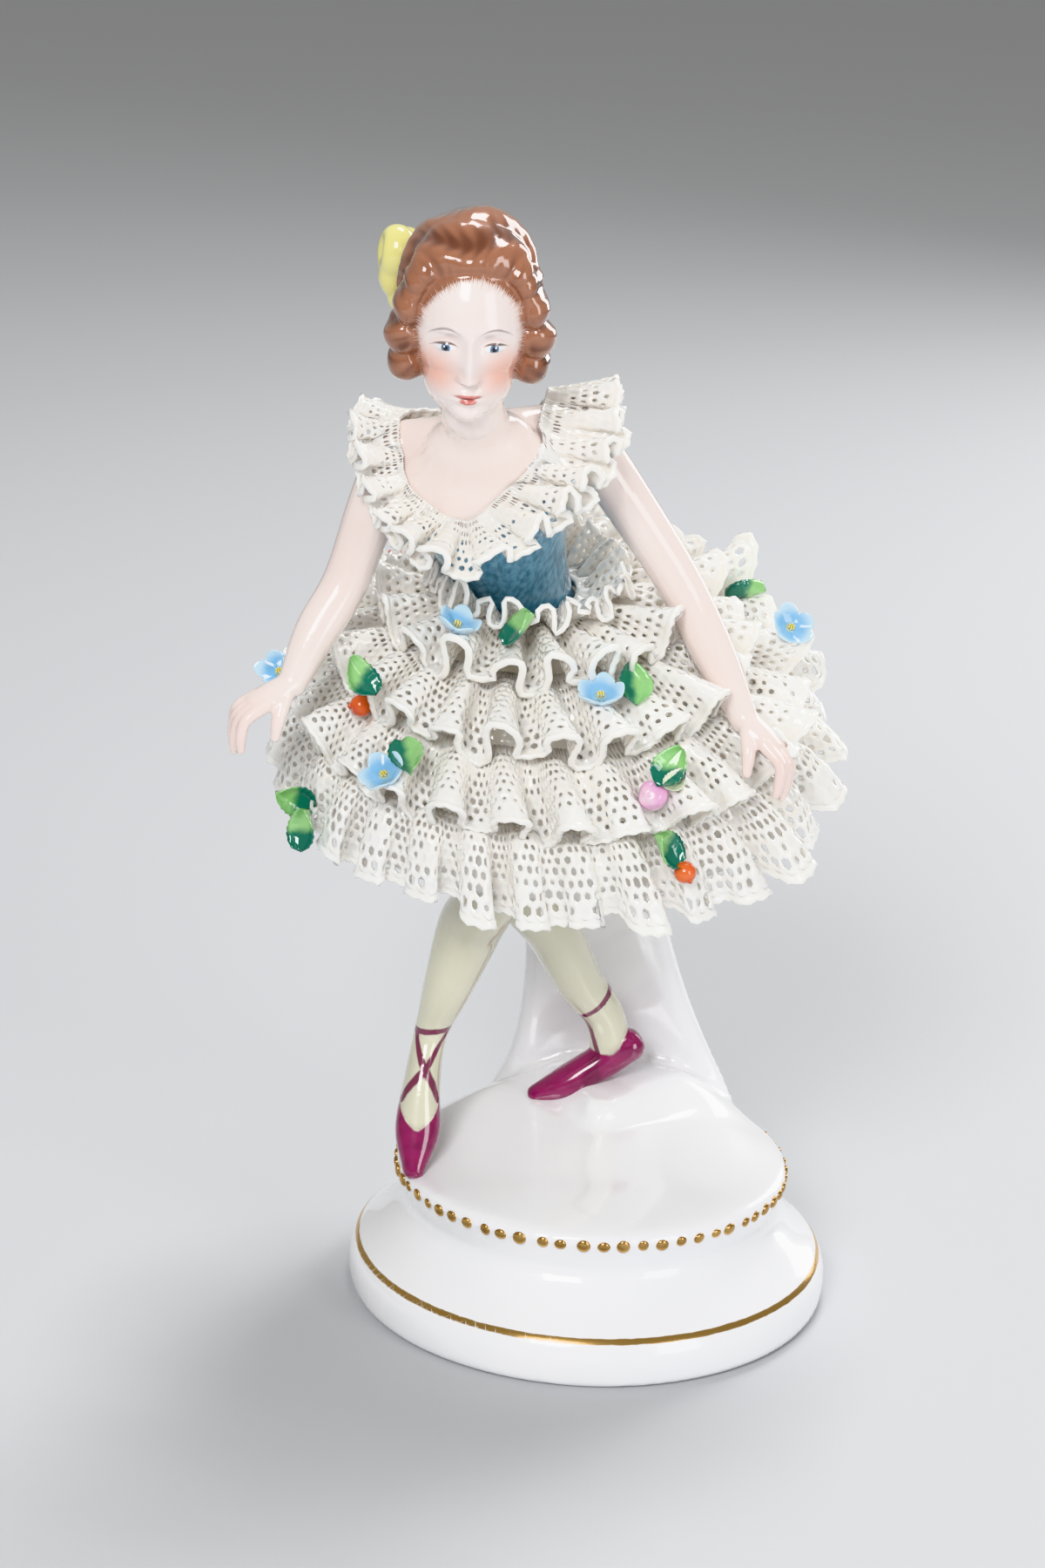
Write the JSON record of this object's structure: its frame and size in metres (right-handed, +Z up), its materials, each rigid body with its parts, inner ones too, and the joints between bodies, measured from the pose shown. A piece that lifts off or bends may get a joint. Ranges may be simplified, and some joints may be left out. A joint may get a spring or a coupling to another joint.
{
  "type": "dresden lace figurine",
  "caption": "Porcelain dancer curtseying on a round plinth, in a skirt and collar of fired lace ruffles with small applied flowers.",
  "frame": {"origin": "centre of the plinth's flat underside, on the surface it stands on", "axes": "+Z up, the dancer faces -Y, +X towards her left hand"},
  "size_m": [0.0955, 0.0834, 0.175],
  "materials": {
    "white_glaze": "glossy clear glaze",
    "skin": "glossy glaze over painted flesh, hair, bodice and slippers",
    "lace": "soft glaze on slip-dipped net",
    "bow_yellow": "glossy",
    "flower_blue": "glossy",
    "leaf_green": "glossy",
    "berry_orange": "glossy",
    "bud_pink": "glossy",
    "gilding": "burnished gold paint"
  },
  "bodies": {
    "root": {"base": "white_glaze", "dancer": "skin", "hair_bow": "bow_yellow", "collar": "lace", "underskirt": "lace", "waist_ruffle": "lace", "skirt_tier_1": "lace", "skirt_tier_2": "lace", "skirt_tier_3": "lace", "skirt_tier_4": "lace", "flower_1": "flower_blue", "flower_2": "flower_blue", "flower_3": "flower_blue", "flower_4": "flower_blue", "flower_5": "flower_blue", "flower_6": "flower_blue", "leaf_1": "leaf_green", "leaf_2": "leaf_green", "leaf_3": "leaf_green", "leaf_4": "leaf_green", "leaf_5": "leaf_green", "leaf_6": "leaf_green", "leaf_7": "leaf_green", "leaf_8": "leaf_green", "leaf_9": "leaf_green", "leaf_10": "leaf_green", "leaf_11": "leaf_green", "berry_1": "berry_orange", "berry_2": "berry_orange", "berry_3": "berry_orange", "bud_1": "bud_pink", "petal_1": "white_glaze"}
  },
  "joints": []
}
